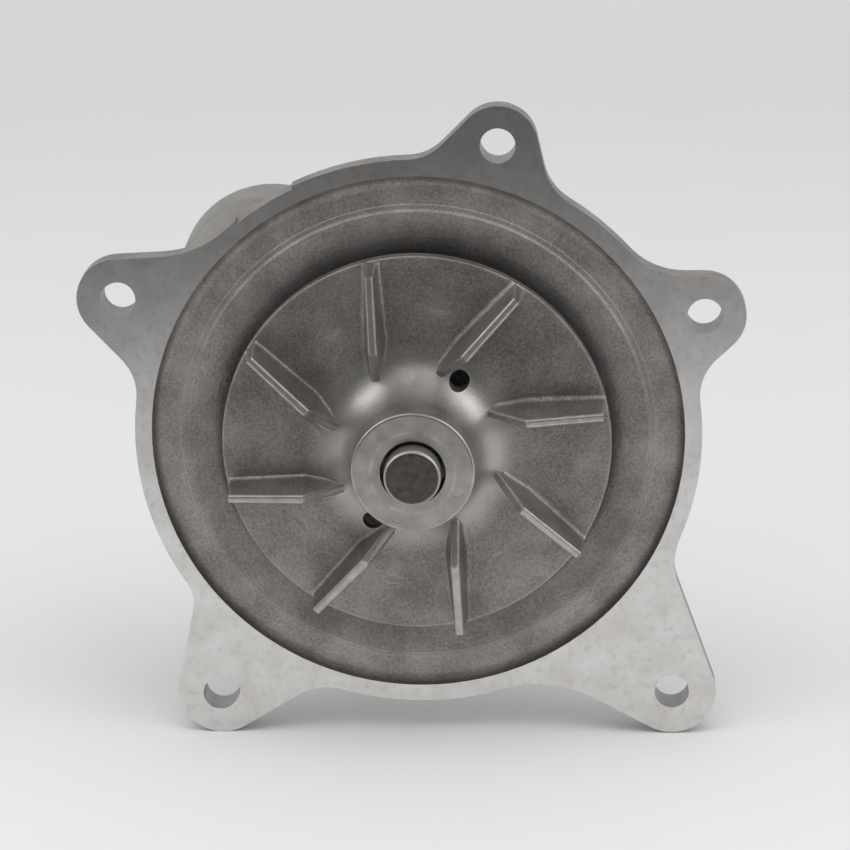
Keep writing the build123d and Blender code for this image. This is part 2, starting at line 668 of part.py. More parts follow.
with BuildPart() as bearing_rollers:
    with Locations(Plane.XZ.offset(-ROLLER_ROW_Y)):
        with PolarLocations(ROLLER_PITCH_RADIUS, ROLLER_COUNT):
            Cylinder(ROLLER_RADIUS, ROLLER_LENGTH)
    chamfer(bearing_rollers.edges().filter_by(GeomType.CIRCLE), ROLLER_CHAMFER)
bearing_rollers.part.label = "bearing_rollers"
export_step(bearing_rollers.part, "parts/bearing_rollers.step")

with BuildPart() as roller_cage:
    half_cage = ROLLER_LENGTH / 2 + ROLLER_CAGE_END
    add(band(CAGE_INNER_RADIUS, CAGE_OUTER_RADIUS, ROLLER_ROW_Y - half_cage, ROLLER_ROW_Y + half_cage))
    revolve(axis=Axis.Y)
    with Locations(Plane.XZ.offset(-ROLLER_ROW_Y)):
        with PolarLocations(ROLLER_PITCH_RADIUS, ROLLER_COUNT):
            pocket_width = 2 * (ROLLER_RADIUS + CAGE_POCKET_CLEARANCE)
            pocket_length = ROLLER_LENGTH + 2 * CAGE_POCKET_CLEARANCE
            Box(CAGE_DEEP_CUT, pocket_width, pocket_length, mode=Mode.SUBTRACT)
roller_cage.part.label = "roller_cage"
export_step(roller_cage.part, "parts/roller_cage.step")

with BuildPart() as front_bearing_seal:
    add(
        band(
            SHAFT_RADIUS + SEAL_LIP_CLEARANCE,
            BEARING_SEAT_RADIUS,
            BEARING_START_Y + BEARING_SEAL_SET_BACK,
            BEARING_START_Y + BEARING_SEAL_WIDTH,
        )
    )
    revolve(axis=Axis.Y)
front_bearing_seal.part.label = "front_bearing_seal"
export_step(front_bearing_seal.part, "parts/front_bearing_seal.step")

with BuildPart() as rear_bearing_seal:
    add(
        band(
            SHAFT_RADIUS + SEAL_LIP_CLEARANCE,
            BEARING_SEAT_RADIUS,
            BEARING_END_Y - BEARING_SEAL_WIDTH,
            BEARING_END_Y - BEARING_SEAL_SET_BACK,
        )
    )
    revolve(axis=Axis.Y)
rear_bearing_seal.part.label = "rear_bearing_seal"
export_step(rear_bearing_seal.part, "parts/rear_bearing_seal.step")

with BuildPart() as bearing_snap_ring:
    with BuildSketch(at_depth(BEARING_END_Y)):
        Circle(SNAP_RING_GROOVE_RADIUS)
        Circle(SNAP_RING_INNER_RADIUS, mode=Mode.SUBTRACT)
        with Locations((0, SNAP_RING_INNER_RADIUS)):
            gap_depth = 2 * (SNAP_RING_GROOVE_RADIUS - SNAP_RING_INNER_RADIUS + CUT_PAST)
            Rectangle(SNAP_RING_GAP, gap_depth, mode=Mode.SUBTRACT)
    extrude(amount=-SNAP_RING_WIDTH)
bearing_snap_ring.part.label = "bearing_snap_ring"
export_step(bearing_snap_ring.part, "parts/bearing_snap_ring.step")

# ---- slinger: throws off water that passes the seal ----
with BuildPart() as water_slinger:
    slinger_hub = SHAFT_RADIUS + SLINGER_HUB_WALL
    add(
        section(
            (SHAFT_RADIUS, SLINGER_Y),
            (slinger_hub, SLINGER_Y),
            (SLINGER_RADIUS, SLINGER_Y + SLINGER_DISC_START),
            (SLINGER_RADIUS, SLINGER_Y + SLINGER_DISC_END),
            (slinger_hub, SLINGER_Y + SLINGER_DISC_END),
            (slinger_hub, SLINGER_Y + SLINGER_LENGTH),
            (SHAFT_RADIUS, SLINGER_Y + SLINGER_LENGTH),
        )
    )
    revolve(axis=Axis.Y)
water_slinger.part.label = "water_slinger"
export_step(water_slinger.part, "parts/water_slinger.step")

# ---- mechanical seal, still half ----
with BuildPart() as seal_case:
    base_radius = SLEEVE_RADIUS + SEAL_CASE_CLEARANCE
    flange_end = SEAL_FLANGE_Y + SEAL_FLANGE_THICKNESS
    add(
        section(
            (SEAL_BORE_RADIUS - SEAL_SHEET, SEAL_FLANGE_Y),
            (SEAL_POCKET_RADIUS, SEAL_FLANGE_Y),
            (SEAL_POCKET_RADIUS, flange_end),
            (SEAL_BORE_RADIUS, flange_end),
            (SEAL_BORE_RADIUS, SEAL_BASE_Y),
            (base_radius, SEAL_BASE_Y),
            (base_radius, SEAL_BASE_Y - SEAL_SHEET),
            (SEAL_BORE_RADIUS - SEAL_SHEET, SEAL_BASE_Y - SEAL_SHEET),
        )
    )
    revolve(axis=Axis.Y)
seal_case.part.label = "seal_case"
export_step(seal_case.part, "parts/seal_case.step")

with BuildPart() as carbon_ring:
    nose_y = SEAL_FACE_Y + SEAL_FACE_FILM
    add(
        section(
            (CARBON_BORE, nose_y),
            (CARBON_NOSE_RADIUS, nose_y),
            (CARBON_NOSE_RADIUS, nose_y + CARBON_NOSE_LENGTH),
            (CARBON_RADIUS, nose_y + CARBON_NOSE_LENGTH),
            (CARBON_RADIUS, CARBON_END_Y),
            (CARBON_BORE, CARBON_END_Y),
        )
    )
    revolve(axis=Axis.Y)
carbon_ring.part.label = "carbon_ring"
export_step(carbon_ring.part, "parts/carbon_ring.step")

with BuildPart() as seal_bellows:
    outer_wrap = CARBON_RADIUS + BELLOWS_WALL
    tube_outer = BELLOWS_TUBE_RADIUS + BELLOWS_WALL
    base_y = SEAL_BASE_Y - SEAL_SHEET
    add(
        section(
            (CARBON_RADIUS, CARBON_END_Y - CARBON_GRIP),
            (outer_wrap, CARBON_END_Y - CARBON_GRIP),
            (outer_wrap, CARBON_END_Y + BELLOWS_WALL),
            (tube_outer, CARBON_END_Y + BELLOWS_WALL),
            (tube_outer, base_y - BELLOWS_WALL),
            (outer_wrap, base_y - BELLOWS_WALL),
            (outer_wrap, base_y),
            (BELLOWS_TUBE_RADIUS, base_y),
            (BELLOWS_TUBE_RADIUS, CARBON_END_Y),
            (CARBON_RADIUS, CARBON_END_Y),
        )
    )
    revolve(axis=Axis.Y)
seal_bellows.part.label = "seal_bellows"
export_step(seal_bellows.part, "parts/seal_bellows.step")

with BuildPart() as seal_ferrule:
    ferrule_inner = CARBON_RADIUS + BELLOWS_WALL
    ferrule_end = CARBON_END_Y + BELLOWS_WALL + FERRULE_SHEET
    add(
        section(
            (ferrule_inner, CARBON_END_Y - CARBON_GRIP),
            (ferrule_inner + FERRULE_SHEET, CARBON_END_Y - CARBON_GRIP),
            (ferrule_inner + FERRULE_SHEET, ferrule_end),
            (BELLOWS_TUBE_RADIUS + BELLOWS_WALL, ferrule_end),
            (BELLOWS_TUBE_RADIUS + BELLOWS_WALL, ferrule_end - FERRULE_SHEET),
            (ferrule_inner, ferrule_end - FERRULE_SHEET),
        )
    )
    revolve(axis=Axis.Y)
seal_ferrule.part.label = "seal_ferrule"
export_step(seal_ferrule.part, "parts/seal_ferrule.step")

with BuildPart() as seal_spring:
    spring_start = ferrule_end + SPRING_WIRE_RADIUS
    spring_height = base_y - BELLOWS_WALL - SPRING_WIRE_RADIUS - spring_start
    with BuildLine() as coil:
        Helix(
            pitch=spring_height / SPRING_TURNS,
            height=spring_height,
            radius=SPRING_MEAN_RADIUS,
            center=(0, spring_start, 0),
            direction=(0, 1, 0),
        )
    with BuildSketch(Plane(origin=coil.line @ 0, z_dir=coil.line % 0)):
        Circle(SPRING_WIRE_RADIUS)
    sweep(is_frenet=True)
seal_spring.part.label = "seal_spring"
export_step(seal_spring.part, "parts/seal_spring.step")

# ---- mechanical seal, turning half on its own sleeve ----
with BuildPart() as seal_sleeve:
    add(
        section(
            (SHAFT_RADIUS, IMPELLER_BACK_Y),
            (SEAT_FLANGE_RADIUS, IMPELLER_BACK_Y),
            (SEAT_FLANGE_RADIUS, IMPELLER_BACK_Y + SLEEVE_SHEET),
            (SLEEVE_RADIUS, IMPELLER_BACK_Y + SLEEVE_SHEET),
            (SLEEVE_RADIUS, SLEEVE_END_Y),
            (SHAFT_RADIUS, SLEEVE_END_Y),
        )
    )
    revolve(axis=Axis.Y)
seal_sleeve.part.label = "seal_sleeve"
export_step(seal_sleeve.part, "parts/seal_sleeve.step")

with BuildPart() as seat_rubber:
    rubber_start = IMPELLER_BACK_Y + SLEEVE_SHEET
    rubber_end = rubber_start + SEAT_RUBBER_THICKNESS
    add(
        section(
            (SLEEVE_RADIUS, rubber_start),
            (SEAT_FLANGE_RADIUS, rubber_start),
            (SEAT_FLANGE_RADIUS, SEAL_FACE_Y - SEAT_RUBBER_SET_BACK),
            (SEAT_RADIUS, SEAL_FACE_Y - SEAT_RUBBER_SET_BACK),
            (SEAT_RADIUS, rubber_end),
            (SLEEVE_RADIUS, rubber_end),
        )
    )
    revolve(axis=Axis.Y)
seat_rubber.part.label = "seat_rubber"
export_step(seat_rubber.part, "parts/seat_rubber.step")

with BuildPart() as seat_ring:
    add(band(SLEEVE_RADIUS + SEAT_CLEARANCE, SEAT_RADIUS, rubber_end, SEAL_FACE_Y))
    revolve(axis=Axis.Y)
seat_ring.part.label = "seat_ring"
export_step(seat_ring.part, "parts/seat_ring.step")

# ---- pulley hub, pressed on the drive end ----
with BuildPart() as pulley_hub:
    with BuildSketch(Plane.XY) as hub:
        sleeve_root = (PULLEY_SLEEVE_RADIUS, PULLEY_FLANGE_START_Y)
        pilot_root = (PILOT_RADIUS, PULLEY_FLANGE_END_Y)
        with BuildLine():
            Polyline(
                (SHAFT_RADIUS, PULLEY_SLEEVE_START_Y),
                (PULLEY_SLEEVE_RADIUS, PULLEY_SLEEVE_START_Y),
                sleeve_root,
                (PULLEY_FLANGE_RADIUS, PULLEY_FLANGE_START_Y),
                (PULLEY_FLANGE_RADIUS, PULLEY_FLANGE_END_Y),
                pilot_root,
                (PILOT_RADIUS, PILOT_END_Y),
                (SHAFT_RADIUS, PILOT_END_Y),
                close=True,
            )
        make_face()
        fillet(hub.vertices().sort_by_distance(sleeve_root)[0], PULLEY_SLEEVE_ROUND)
        for corner in (
            (PULLEY_FLANGE_RADIUS, PULLEY_FLANGE_START_Y),
            (PULLEY_FLANGE_RADIUS, PULLEY_FLANGE_END_Y),
            (PILOT_RADIUS, PILOT_END_Y),
        ):
            chamfer(hub.vertices().sort_by_distance(corner)[0], PULLEY_CHAMFER)
    revolve(axis=Axis.Y)
    with BuildSketch(at_depth(PULLEY_FLANGE_END_Y + CUT_PAST)):
        with PolarLocations(PULLEY_BOLT_PCD / 2, PULLEY_BOLT_COUNT, start_angle=45):
            Circle(PULLEY_TAP_RADIUS)
    extrude(amount=PULLEY_FLANGE_END_Y - PULLEY_FLANGE_START_Y + 2 * CUT_PAST, mode=Mode.SUBTRACT)
pulley_hub.part.label = "pulley_hub"
export_step(pulley_hub.part, "parts/pulley_hub.step")
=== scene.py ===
import bpy
import json
import math
from mathutils import Matrix, Vector


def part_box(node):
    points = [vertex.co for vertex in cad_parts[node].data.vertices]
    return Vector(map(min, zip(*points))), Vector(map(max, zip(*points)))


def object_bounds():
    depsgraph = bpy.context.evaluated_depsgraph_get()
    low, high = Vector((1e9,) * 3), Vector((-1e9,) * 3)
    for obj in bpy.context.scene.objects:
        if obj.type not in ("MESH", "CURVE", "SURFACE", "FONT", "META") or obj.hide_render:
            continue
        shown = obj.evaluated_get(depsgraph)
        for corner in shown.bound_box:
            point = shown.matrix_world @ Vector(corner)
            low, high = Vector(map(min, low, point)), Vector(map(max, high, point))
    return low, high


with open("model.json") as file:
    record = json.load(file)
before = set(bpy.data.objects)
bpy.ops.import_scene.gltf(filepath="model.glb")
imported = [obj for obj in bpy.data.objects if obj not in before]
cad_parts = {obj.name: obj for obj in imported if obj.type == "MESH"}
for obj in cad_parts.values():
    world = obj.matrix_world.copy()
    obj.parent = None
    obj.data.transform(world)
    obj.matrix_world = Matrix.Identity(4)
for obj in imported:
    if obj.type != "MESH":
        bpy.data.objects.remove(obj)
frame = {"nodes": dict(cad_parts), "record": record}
size_at_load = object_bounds()
nodes = frame["nodes"]

MM = 0.001
FLOOR_Z = size_at_load[0][2]
SHAFT_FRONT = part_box("shaft")[0][1]
HUB_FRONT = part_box("impeller")[0][1]

# where on the part the materials change, in metres
COUNTERBORE_RADIUS = 9 * MM
RECESS_EDGE_RADIUS = 76 * MM
# the next depth bounds the painted shade round the recess's edge
RECESS_SHADE_DEPTH = 3 * MM
BOLT_SEAT_RADIUS = 6.1 * MM
CHAMBER_X, CHAMBER_Z, CHAMBER_RADIUS = -42.6 * MM, 39.6 * MM, 27.8 * MM
DISC_RIM_RADIUS, DISC_RIM_FRONT, DISC_CONE_SLOPE = 55.4 * MM, 7.6 * MM, 0.153
VANE_START_RADIUS = 25 * MM
HUB_ROOT_RADIUS = 22.5 * MM
RUBBED_RING_RADIUS = 11.8 * MM


# ---- material helpers ----
class Shader:
    """A new node material with a Principled shader, and short calls for the nodes it needs."""

    def __init__(self, name, colour, roughness, metallic):
        self.material = bpy.data.materials.new(name)
        self.material.use_nodes = True
        self.material.diffuse_color = (*colour, 1)
        self.tree = self.material.node_tree
        self.bsdf = self.tree.nodes["Principled BSDF"]
        self.bsdf.inputs["Base Color"].default_value = (*colour, 1)
        self.bsdf.inputs["Roughness"].default_value = roughness
        self.bsdf.inputs["Metallic"].default_value = metallic
        self.coordinates = self.tree.nodes.new("ShaderNodeTexCoord").outputs["Object"]

    def link(self, source, target):
        self.tree.links.new(source, target)

    def noise(self, grain, detail=4.0, stretch=None):
        """Noise whose features are about grain metres across, optionally stretched along the axes."""
        node = self.tree.nodes.new("ShaderNodeTexNoise")
        node.inputs["Scale"].default_value = 1 / grain
        node.inputs["Detail"].default_value = detail
        vector = self.coordinates
        if stretch:
            mapping = self.tree.nodes.new("ShaderNodeMapping")
            mapping.inputs["Scale"].default_value = stretch
            self.link(vector, mapping.inputs["Vector"])
            vector = mapping.outputs["Vector"]
        self.link(vector, node.inputs["Vector"])
        return node.outputs["Fac"]

    def polar(self):
        """Coordinates (radius from the shaft axis, depth, 0), for marks left by turning."""
        split = self.tree.nodes.new("ShaderNodeSeparateXYZ")
        self.link(self.coordinates, split.inputs[0])
        squared = [self.math("MULTIPLY", split.outputs[i], split.outputs[i]) for i in ("X", "Z")]
        radius = self.math("SQRT", self.math("ADD", *squared), 0)
        join = self.tree.nodes.new("ShaderNodeCombineXYZ")
        self.link(radius, join.inputs["X"])
        self.link(split.outputs["Y"], join.inputs["Y"])
        return radius, split.outputs["Y"], join.outputs[0]

    def math(self, operation, a, b):
        node = self.tree.nodes.new("ShaderNodeMath")
        node.operation = operation
        for value, socket in ((a, node.inputs[0]), (b, node.inputs[1])):
            if isinstance(value, (int, float)):
                socket.default_value = value
            else:
                self.link(value, socket)
        return node.outputs[0]

    def remap(self, value, low, high, out_low, out_high):
        node = self.tree.nodes.new("ShaderNodeMapRange")
        self.link(value, node.inputs["Value"])
        names = ("From Min", "From Max", "To Min", "To Max")
        for name, number in zip(names, (low, high, out_low, out_high)):
            node.inputs[name].default_value = number
        return node.outputs["Result"]

    def blotch(self, noise, dark, light):
        """Goes from the dark to the light colour with the noise."""
        return self.mix(self.remap(noise, 0.3, 0.7, 0, 1), dark, light)

    def near(self, value, centre, full, end, strength):
        """As strong as given where the value is within full of the centre, and 0 beyond end."""
        away = self.math("ABSOLUTE", self.math("SUBTRACT", value, centre), 0)
        return self.remap(away, full, end, strength, 0)

    def rings(self, ring_point, pitch, detail):
        """Noise in rings round the shaft, about that pitch apart."""
        node = self.tree.nodes.new("ShaderNodeTexNoise")
        node.inputs["Scale"].default_value = 1 / pitch
        node.inputs["Detail"].default_value = detail
        self.link(ring_point, node.inputs["Vector"])
        return node.outputs["Fac"]

    def axis(self, name):
        """One of the object's coordinates, X, Y or Z."""
        split = self.tree.nodes.new("ShaderNodeSeparateXYZ")
        self.link(self.coordinates, split.inputs[0])
        return split.outputs[name]

    def mix(self, factor, first, second):
        node = self.tree.nodes.new("ShaderNodeMix")
        node.data_type = "RGBA"
        self.link(factor, node.inputs["Factor"])
        for value, socket in ((first, node.inputs[6]), (second, node.inputs[7])):
            if isinstance(value, tuple):
                socket.default_value = (*value, 1)
            else:
                self.link(value, socket)
        return node.outputs[2]

    def bump(self, height, distance, strength=1.0, onto=None):
        node = self.tree.nodes.new("ShaderNodeBump")
        node.inputs["Distance"].default_value = distance
        node.inputs["Strength"].default_value = strength
        self.link(height, node.inputs["Height"])
        if onto:
            self.link(onto, node.inputs["Normal"])
        return node.outputs["Normal"]

    def edges(self, radius):
        """1 on sharp or tightly rounded edges and 0 on flats."""
        bevel = self.tree.nodes.new("ShaderNodeBevel")
        bevel.samples = 4
        bevel.inputs["Radius"].default_value = radius
        geometry = self.tree.nodes.new("ShaderNodeNewGeometry")
        dot = self.tree.nodes.new("ShaderNodeVectorMath")
        dot.operation = "DOT_PRODUCT"
        self.link(bevel.outputs[0], dot.inputs[0])
        self.link(geometry.outputs["Normal"], dot.inputs[1])
        return self.remap(dot.outputs["Value"], 0.98, 0.80, 0, 1)

    def colour(self, value):
        self.link(value, self.bsdf.inputs["Base Color"])

    def roughness(self, value):
        self.link(value, self.bsdf.inputs["Roughness"])

    def normal(self, value):
        self.link(value, self.bsdf.inputs["Normal"])


def casting(name, dark, light, roughness, metallic, grain, edge):
    """Shot-blasted casting: fine pits, slow stains, and edges and creases of about that radius painted
    lighter, partly as edge wear and partly as a painted highlight.
    """
    shader = Shader(name, light, roughness, metallic)
    fine = shader.noise(grain, 3)
    coarse = shader.noise(12 * MM, 5)
    speckle = shader.noise(0.6 * grain, 1)
    tone = shader.math("ADD", shader.math("MULTIPLY", fine, 0.5), shader.math("MULTIPLY", coarse, 0.5))
    base = shader.mix(shader.remap(tone, 0.38, 0.62, 0, 1), dark, light)
    # edge wear plus painted highlight: edges and creases are painted lighter
    wear_and_highlight = shader.math("MULTIPLY", shader.edges(edge), shader.remap(coarse, 0.3, 0.6, 0.5, 1))
    base = shader.mix(wear_and_highlight, base, tuple(min(1, 1.6 * c) for c in light))
    shader.colour(base)
    shader.roughness(shader.remap(speckle, 0.3, 0.7, roughness - 0.08, roughness + 0.1))
    pits = shader.bump(fine, 0.18 * MM, 0.8)
    shader.normal(shader.bump(shader.noise(5 * MM, 3), 0.25 * MM, 0.5, pits))
    return shader


def turned(name, colour, roughness, metallic=1.0, pitch=0.15 * MM):
    """Turned or ground metal: fine rings round the shaft axis, faint stains and bright edges."""
    shader = Shader(name, colour, roughness, metallic)
    rings = shader.rings(shader.polar()[2], pitch, 2)
    stain = shader.noise(6 * MM, 4)
    base = shader.blotch(stain, tuple(0.8 * c for c in colour), colour)
    shader.colour(shader.mix(shader.edges(0.3 * MM), base, tuple(min(1, 1.25 * c) for c in colour)))
    shader.roughness(shader.remap(rings, 0.3, 0.7, roughness - 0.06, roughness + 0.08))
    shader.normal(shader.bump(rings, 0.02 * MM, 0.6))
    return shader


def moulded(name, colour, roughness):
    """Moulded rubber, nylon, carbon or ceramic: faint mottling and a fine skin."""
    shader = Shader(name, colour, roughness, 0.0)
    mottle = shader.noise(2 * MM, 5)
    shader.colour(shader.blotch(mottle, tuple(0.75 * c for c in colour), colour))
    shader.roughness(shader.remap(mottle, 0.3, 0.7, roughness - 0.07, roughness + 0.07))
    shader.normal(shader.bump(shader.noise(0.3 * MM, 3), 0.03 * MM, 0.6))
    return shader


def below(shader, axis, limit):
    """1 where the object coordinate on that axis is under the limit, and 0 elsewhere."""
    return shader.math("LESS_THAN", shader.axis(axis), limit)


def overlay(shader, mask, colour, roughness, normal):
    """Puts another finish over the shader's present one where the mask is 1."""
    bsdf = shader.bsdf
    base = bsdf.inputs["Base Color"].links[0].from_socket
    rough = bsdf.inputs["Roughness"].links[0].from_socket
    bumps = bsdf.inputs["Normal"].links[0].from_socket
    shader.colour(shader.mix(mask, base, colour))
    blend = shader.tree.nodes.new("ShaderNodeMix")
    shader.link(mask, blend.inputs["Factor"])
    shader.link(rough, blend.inputs[2])
    shader.link(roughness, blend.inputs[3])
    shader.roughness(blend.outputs[0])
    normals = shader.tree.nodes.new("ShaderNodeMix")
    normals.data_type = "VECTOR"
    shader.link(mask, normals.inputs["Factor"])
    shader.link(bumps, normals.inputs[4])
    shader.link(normal, normals.inputs[5])
    shader.normal(normals.outputs[1])
    metal = bsdf.inputs["Metallic"]
    cast_metal = metal.links[0].from_socket if metal.is_linked else metal.default_value
    over = shader.math("SUBTRACT", 1, mask)
    shader.link(shader.math("ADD", mask, shader.math("MULTIPLY", over, cast_metal)), metal)


def distance_from_line(shader, x, z):
    """Distance from the line through (x, z) that runs parallel to the shaft."""
    flat = shader.tree.nodes.new("ShaderNodeVectorMath")
    flat.operation = "MULTIPLY"
    flat.inputs[1].default_value = (1, 0, 1)
    shader.link(shader.coordinates, flat.inputs[0])
    distance = shader.tree.nodes.new("ShaderNodeVectorMath")
    distance.operation = "DISTANCE"
    distance.inputs[1].default_value = (x, 0, z)
    shader.link(flat.outputs[0], distance.inputs[0])
    return distance.outputs["Value"]


def hole_mask(shader):
    """1 in the bolt holes and on the narrow seats round their back ends."""
    nearest = None
    for mount in frame["record"]["mounts"]:
        if not mount["name"].startswith("bolt"):
            continue
        x, _, z = mount["pos_m"]
        distance = distance_from_line(shader, x, z)
        nearest = distance if nearest is None else shader.math("MINIMUM", nearest, distance)
    return shader.remap(nearest, BOLT_SEAT_RADIUS - 0.2 * MM, BOLT_SEAT_RADIUS + 0.2 * MM, 1, 0)


def boss_skin_and_highlight_mask(shader, radius, depth):
    """Up to 0.6 on the boss at the upper left where it stands out of the flange and behind it; there
    it gets a smoother skin, painted lighter as a painted highlight.
    """
    from_axis = distance_from_line(shader, CHAMBER_X, CHAMBER_Z)
    chamber = shader.remap(from_axis, CHAMBER_RADIUS - 0.5 * MM, CHAMBER_RADIUS + 0.5 * MM, 1, 0)
    outward = shader.remap(radius, 78 * MM, 84 * MM, 0, 0.6)
    rearward = shader.remap(depth, 12 * MM, 16 * MM, 0, 0.4)
    return shader.math("MULTIPLY", chamber, shader.math("MAXIMUM", outward, rearward))


def recess_shade_mask(shader, radius, depth):
    """Painted shade: up to 0.75 round the recess's edge, and most in its lower half."""
    corner = shader.near(radius, RECESS_EDGE_RADIUS, 0.3 * MM, 2 * MM, 1)
    lower = shader.remap(shader.axis("Z"), 40 * MM, -30 * MM, 0.1, 0.75)
    inside = shader.math("LESS_THAN", depth, RECESS_SHADE_DEPTH)
    return shader.math("MULTIPLY", shader.math("MULTIPLY", corner, lower), inside)


def housing_material():
    """Aluminium casting with a machined face and bolt holes, a smoother boss painted lighter as a
    painted highlight, and painted shade round the recess's edge.
    """
    dark, light = (0.225, 0.208, 0.198), (0.40, 0.378, 0.362)
    shader = casting("CastAluminium", dark, light, 0.5, 0.75, 0.7 * MM, 0.5 * MM)
    radius, depth, _ = shader.polar()
    skin = shader.noise(8 * MM, 4)
    # the boss's smoother skin, painted lighter: a painted highlight over a real change of skin
    smooth = shader.blotch(skin, (0.36, 0.352, 0.335), (0.47, 0.46, 0.44))
    smooth_roughness = shader.remap(skin, 0.3, 0.7, 0.5, 0.6)
    boss = boss_skin_and_highlight_mask(shader, radius, depth)
    overlay(shader, boss, smooth, smooth_roughness, shader.bump(skin, 0.2 * MM, 0.5))
    # painted shade: the next lines darken the recess's edge, most in its lower half
    unshaded = shader.bsdf.inputs["Base Color"].links[0].from_socket
    shader.colour(shader.mix(recess_shade_mask(shader, radius, depth), unshaded, (0.06, 0.055, 0.05)))
    smear = shader.noise(9 * MM, 5)
    scuffs = shader.noise(2.5 * MM, 6)
    lines = shader.noise(0.6 * MM, 2, (0.3, 1, 1.2))
    drilled = shader.blotch(smear, (0.31, 0.302, 0.294), (0.38, 0.372, 0.365))
    drilled_roughness = shader.remap(scuffs, 0.3, 0.7, 0.34, 0.42)
    overlay(shader, hole_mask(shader), drilled, drilled_roughness, shader.bump(lines, 0.01 * MM, 0.5))
    face = shader.blotch(smear, (0.66, 0.64, 0.62), (0.78, 0.765, 0.75))
    face = shader.mix(shader.remap(scuffs, 0.52, 0.66, 0, 0.5), face, (0.56, 0.545, 0.53))
    face_roughness = shader.remap(lines, 0.3, 0.7, 0.28, 0.34)
    on_face = below(shader, "Y", 0.01 * MM)
    overlay(shader, on_face, face, face_roughness, shader.bump(scuffs, 0.006 * MM, 0.5))
    return shader


def crest_wear_and_highlight_mask(shader, radius, depth):
    """Up to 0.9 on the crests of the vanes, which stand 13 mm above the coned front of the disc: wear
    on the crests plus a painted highlight that fades across the rounded ridge.
    """
    cone = shader.math("MULTIPLY", shader.math("SUBTRACT", radius, DISC_RIM_RADIUS), DISC_CONE_SLOPE)
    height = shader.math("SUBTRACT", shader.math("SUBTRACT", cone, depth), DISC_RIM_FRONT)
    high = shader.remap(height, 12.0 * MM, 12.9 * MM, 0, 0.9)
    return shader.math("MULTIPLY", high, shader.math("GREATER_THAN", radius, VANE_START_RADIUS))


def impeller_material():
    """Grainy casting with the vane crests painted lighter, as wear plus a painted highlight, and a
    painted highlight on the hub root.
    """
    dark, light = (0.175, 0.163, 0.15), (0.335, 0.317, 0.30)
    # the 1.6 mm edge radius also paints the vanes' foot fillets lighter, a painted highlight
    shader = casting("ImpellerCasting", dark, light, 0.46, 0.8, 0.7 * MM, 1.6 * MM)
    radius, depth, _ = shader.polar()
    wear_and_highlight = shader.noise(3 * MM, 4)
    fine = shader.noise(0.6 * MM, 3)
    bright = shader.blotch(wear_and_highlight, (0.45, 0.43, 0.41), (0.60, 0.58, 0.555))
    # vane crests painted lighter: wear plus a painted highlight along the ridge
    crest = crest_wear_and_highlight_mask(shader, radius, depth)
    crest_roughness = shader.remap(wear_and_highlight, 0.3, 0.7, 0.44, 0.36)
    overlay(shader, crest, bright, crest_roughness, shader.bump(fine, 0.08 * MM, 0.6))
    # painted highlight: the fillet at the hub root is painted lighter and made less rough
    low = shader.remap(depth, -25 * MM, -21 * MM, 0, 1)
    root = shader.math("MULTIPLY", shader.near(radius, HUB_ROOT_RADIUS, 1 * MM, 9 * MM, 0.7), low)
    root_highlight_noise = shader.noise(9 * MM, 2)
    root_highlight = shader.blotch(root_highlight_noise, (0.47, 0.45, 0.43), (0.60, 0.58, 0.555))
    root_roughness = shader.remap(root_highlight_noise, 0.3, 0.7, 0.46, 0.38)
    overlay(shader, root, root_highlight, root_roughness, shader.bump(fine, 0.08 * MM, 0.5))
    hub_face(shader)
    return shader


def hub_face(shader):
    """Turned hub face with a rubbed ring half-way out."""
    radius, _, ring_point = shader.polar()
    outside_bore = shader.math("GREATER_THAN", radius, COUNTERBORE_RADIUS)
    on_face = shader.math("MULTIPLY", below(shader, "Y", HUB_FRONT + 0.9 * MM), outside_bore)
    stain = shader.noise(4 * MM, 5)
    tone = shader.blotch(stain, (0.38, 0.36, 0.34), (0.50, 0.48, 0.455))
    ring = shader.near(radius, RUBBED_RING_RADIUS, 0, 0.6 * MM, 1)
    ring = shader.math("MULTIPLY", ring, shader.remap(stain, 0.4, 0.6, 0, 0.7))
    tone = shader.mix(ring, tone, (0.66, 0.64, 0.61))
    tone_roughness = shader.remap(stain, 0.3, 0.7, 0.42, 0.34)
    rings = shader.rings(ring_point, 0.4 * MM, 2)
    overlay(shader, on_face, tone, tone_roughness, shader.bump(rings, 0.02 * MM, 0.5))


def shaft_material():
    """Ground steel with a dull, darkened end on the impeller side."""
    shader = turned("GroundSteel", (0.50, 0.485, 0.47), 0.34, 0.8)
    stain = shader.noise(1.5 * MM, 5)
    dull = shader.blotch(stain, (0.088, 0.08, 0.071), (0.155, 0.142, 0.128))
    dull_roughness = shader.remap(stain, 0.3, 0.7, 0.4, 0.55)
    end = shader.remap(shader.axis("Y"), SHAFT_FRONT + 0.03 * MM, SHAFT_FRONT + 0.3 * MM, 1, 0)
    overlay(shader, end, dull, dull_roughness, shader.bump(stain, 0.05 * MM, 0.5))
    return shader


